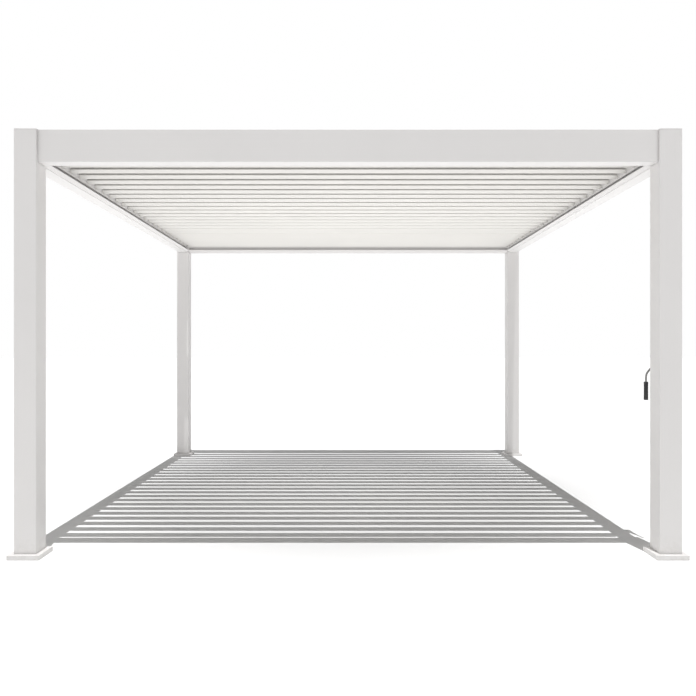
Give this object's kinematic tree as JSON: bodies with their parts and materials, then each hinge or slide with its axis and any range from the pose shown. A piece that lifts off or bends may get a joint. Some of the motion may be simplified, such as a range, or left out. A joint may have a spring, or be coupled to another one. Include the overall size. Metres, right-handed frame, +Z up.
{
  "type": "louvered pergola",
  "caption": "Square aluminium pergola: posts on feet, hollow beams with inner gutters, and parallel tilting roof blades turned by a hand crank.",
  "frame": {"origin": "on the floor, under the middle of the roof", "axes": "+X to the right seen from the front, along the blades; +Y from the front to the back; +Z up"},
  "size_m": [4.06, 4.06, 2.577],
  "materials": {
    "white_powder_coat": "white powder coat, satin",
    "blade_powder_coat": "white powder coat, satin",
    "rod_metal": "grey satin metal",
    "black_plastic": "matte black moulding"
  },
  "bodies": {
    "frame": {"post_front_left": "white_powder_coat", "post_front_right": "white_powder_coat", "post_back_left": "white_powder_coat", "post_back_right": "white_powder_coat", "post_cap_front_left": "white_powder_coat", "post_cap_front_right": "white_powder_coat", "post_cap_back_left": "white_powder_coat", "post_cap_back_right": "white_powder_coat", "foot_front_left": "white_powder_coat", "foot_front_right": "white_powder_coat", "foot_back_left": "white_powder_coat", "foot_back_right": "white_powder_coat", "beam_front": "white_powder_coat", "beam_back": "white_powder_coat", "beam_left": "white_powder_coat", "beam_right": "white_powder_coat", "crank_box": "white_powder_coat"},
    "louver_01": {"louver_01": "blade_powder_coat"},
    "louver_02": {"louver_02": "blade_powder_coat"},
    "louver_03": {"louver_03": "blade_powder_coat"},
    "louver_04": {"louver_04": "blade_powder_coat"},
    "louver_05": {"louver_05": "blade_powder_coat"},
    "louver_06": {"louver_06": "blade_powder_coat"},
    "louver_07": {"louver_07": "blade_powder_coat"},
    "louver_08": {"louver_08": "blade_powder_coat"},
    "louver_09": {"louver_09": "blade_powder_coat"},
    "louver_10": {"louver_10": "blade_powder_coat"},
    "louver_11": {"louver_11": "blade_powder_coat"},
    "louver_12": {"louver_12": "blade_powder_coat"},
    "louver_13": {"louver_13": "blade_powder_coat"},
    "louver_14": {"louver_14": "blade_powder_coat"},
    "louver_15": {"louver_15": "blade_powder_coat"},
    "louver_16": {"louver_16": "blade_powder_coat"},
    "louver_17": {"louver_17": "blade_powder_coat"},
    "louver_18": {"louver_18": "blade_powder_coat"},
    "louver_19": {"louver_19": "blade_powder_coat"},
    "louver_20": {"louver_20": "blade_powder_coat"},
    "louver_21": {"louver_21": "blade_powder_coat"},
    "louver_22": {"louver_22": "blade_powder_coat"},
    "louver_23": {"louver_23": "blade_powder_coat"},
    "louver_24": {"louver_24": "blade_powder_coat"},
    "louver_25": {"louver_25": "blade_powder_coat"},
    "crank": {"crank_rod": "rod_metal"},
    "grip": {"crank_grip": "black_plastic"}
  },
  "joints": [
    {"name": "crank_turn", "type": "hinge", "parent": "frame", "child": "crank", "pos_m": [1.994, -1.71, 2.392], "axis": [0, 0, -1], "range_deg": [-1872, 1712]},
    {"name": "grip_spin", "type": "hinge", "parent": "crank", "child": "grip", "pos_m": [1.9685, -1.578, 0.98], "axis": [0, 0, -1], "continuous": true},
    {"name": "louver_01_tilt", "type": "hinge", "parent": "frame", "child": "louver_01", "pos_m": [0, -1.8, 2.51847], "axis": [-1, 0, 0], "range_deg": [-47, 43]},
    {"name": "louver_02_tilt", "type": "hinge", "parent": "frame", "child": "louver_02", "pos_m": [0, -1.65, 2.51847], "axis": [-1, 0, 0], "range_deg": [-47, 43]},
    {"name": "louver_03_tilt", "type": "hinge", "parent": "frame", "child": "louver_03", "pos_m": [0, -1.5, 2.51847], "axis": [-1, 0, 0], "range_deg": [-47, 43]},
    {"name": "louver_04_tilt", "type": "hinge", "parent": "frame", "child": "louver_04", "pos_m": [0, -1.35, 2.51847], "axis": [-1, 0, 0], "range_deg": [-47, 43]},
    {"name": "louver_05_tilt", "type": "hinge", "parent": "frame", "child": "louver_05", "pos_m": [0, -1.2, 2.51847], "axis": [-1, 0, 0], "range_deg": [-47, 43]},
    {"name": "louver_06_tilt", "type": "hinge", "parent": "frame", "child": "louver_06", "pos_m": [0, -1.05, 2.51847], "axis": [-1, 0, 0], "range_deg": [-47, 43]},
    {"name": "louver_07_tilt", "type": "hinge", "parent": "frame", "child": "louver_07", "pos_m": [0, -0.9, 2.51847], "axis": [-1, 0, 0], "range_deg": [-47, 43]},
    {"name": "louver_08_tilt", "type": "hinge", "parent": "frame", "child": "louver_08", "pos_m": [0, -0.75, 2.51847], "axis": [-1, 0, 0], "range_deg": [-47, 43]},
    {"name": "louver_09_tilt", "type": "hinge", "parent": "frame", "child": "louver_09", "pos_m": [0, -0.6, 2.51847], "axis": [-1, 0, 0], "range_deg": [-47, 43]},
    {"name": "louver_10_tilt", "type": "hinge", "parent": "frame", "child": "louver_10", "pos_m": [0, -0.45, 2.51847], "axis": [-1, 0, 0], "range_deg": [-47, 43]},
    {"name": "louver_11_tilt", "type": "hinge", "parent": "frame", "child": "louver_11", "pos_m": [0, -0.3, 2.51847], "axis": [-1, 0, 0], "range_deg": [-47, 43]},
    {"name": "louver_12_tilt", "type": "hinge", "parent": "frame", "child": "louver_12", "pos_m": [0, -0.15, 2.51847], "axis": [-1, 0, 0], "range_deg": [-47, 43]},
    {"name": "louver_13_tilt", "type": "hinge", "parent": "frame", "child": "louver_13", "pos_m": [0, 0, 2.51847], "axis": [-1, 0, 0], "range_deg": [-47, 43]},
    {"name": "louver_14_tilt", "type": "hinge", "parent": "frame", "child": "louver_14", "pos_m": [0, 0.15, 2.51847], "axis": [-1, 0, 0], "range_deg": [-47, 43]},
    {"name": "louver_15_tilt", "type": "hinge", "parent": "frame", "child": "louver_15", "pos_m": [0, 0.3, 2.51847], "axis": [-1, 0, 0], "range_deg": [-47, 43]},
    {"name": "louver_16_tilt", "type": "hinge", "parent": "frame", "child": "louver_16", "pos_m": [0, 0.45, 2.51847], "axis": [-1, 0, 0], "range_deg": [-47, 43]},
    {"name": "louver_17_tilt", "type": "hinge", "parent": "frame", "child": "louver_17", "pos_m": [0, 0.6, 2.51847], "axis": [-1, 0, 0], "range_deg": [-47, 43]},
    {"name": "louver_18_tilt", "type": "hinge", "parent": "frame", "child": "louver_18", "pos_m": [0, 0.75, 2.51847], "axis": [-1, 0, 0], "range_deg": [-47, 43]},
    {"name": "louver_19_tilt", "type": "hinge", "parent": "frame", "child": "louver_19", "pos_m": [0, 0.9, 2.51847], "axis": [-1, 0, 0], "range_deg": [-47, 43]},
    {"name": "louver_20_tilt", "type": "hinge", "parent": "frame", "child": "louver_20", "pos_m": [0, 1.05, 2.51847], "axis": [-1, 0, 0], "range_deg": [-47, 43]},
    {"name": "louver_21_tilt", "type": "hinge", "parent": "frame", "child": "louver_21", "pos_m": [0, 1.2, 2.51847], "axis": [-1, 0, 0], "range_deg": [-47, 43]},
    {"name": "louver_22_tilt", "type": "hinge", "parent": "frame", "child": "louver_22", "pos_m": [0, 1.35, 2.51847], "axis": [-1, 0, 0], "range_deg": [-47, 43]},
    {"name": "louver_23_tilt", "type": "hinge", "parent": "frame", "child": "louver_23", "pos_m": [0, 1.5, 2.51847], "axis": [-1, 0, 0], "range_deg": [-47, 43]},
    {"name": "louver_24_tilt", "type": "hinge", "parent": "frame", "child": "louver_24", "pos_m": [0, 1.65, 2.51847], "axis": [-1, 0, 0], "range_deg": [-47, 43]},
    {"name": "louver_25_tilt", "type": "hinge", "parent": "frame", "child": "louver_25", "pos_m": [0, 1.8, 2.51847], "axis": [-1, 0, 0], "range_deg": [-47, 43]}
  ],
  "couplings": [
    {"joint": "louver_01_tilt", "follows": "crank_turn", "ratio": 0.025},
    {"joint": "louver_02_tilt", "follows": "crank_turn", "ratio": 0.025},
    {"joint": "louver_03_tilt", "follows": "crank_turn", "ratio": 0.025},
    {"joint": "louver_04_tilt", "follows": "crank_turn", "ratio": 0.025},
    {"joint": "louver_05_tilt", "follows": "crank_turn", "ratio": 0.025},
    {"joint": "louver_06_tilt", "follows": "crank_turn", "ratio": 0.025},
    {"joint": "louver_07_tilt", "follows": "crank_turn", "ratio": 0.025},
    {"joint": "louver_08_tilt", "follows": "crank_turn", "ratio": 0.025},
    {"joint": "louver_09_tilt", "follows": "crank_turn", "ratio": 0.025},
    {"joint": "louver_10_tilt", "follows": "crank_turn", "ratio": 0.025},
    {"joint": "louver_11_tilt", "follows": "crank_turn", "ratio": 0.025},
    {"joint": "louver_12_tilt", "follows": "crank_turn", "ratio": 0.025},
    {"joint": "louver_13_tilt", "follows": "crank_turn", "ratio": 0.025},
    {"joint": "louver_14_tilt", "follows": "crank_turn", "ratio": 0.025},
    {"joint": "louver_15_tilt", "follows": "crank_turn", "ratio": 0.025},
    {"joint": "louver_16_tilt", "follows": "crank_turn", "ratio": 0.025},
    {"joint": "louver_17_tilt", "follows": "crank_turn", "ratio": 0.025},
    {"joint": "louver_18_tilt", "follows": "crank_turn", "ratio": 0.025},
    {"joint": "louver_19_tilt", "follows": "crank_turn", "ratio": 0.025},
    {"joint": "louver_20_tilt", "follows": "crank_turn", "ratio": 0.025},
    {"joint": "louver_21_tilt", "follows": "crank_turn", "ratio": 0.025},
    {"joint": "louver_22_tilt", "follows": "crank_turn", "ratio": 0.025},
    {"joint": "louver_23_tilt", "follows": "crank_turn", "ratio": 0.025},
    {"joint": "louver_24_tilt", "follows": "crank_turn", "ratio": 0.025},
    {"joint": "louver_25_tilt", "follows": "crank_turn", "ratio": 0.025}
  ]
}
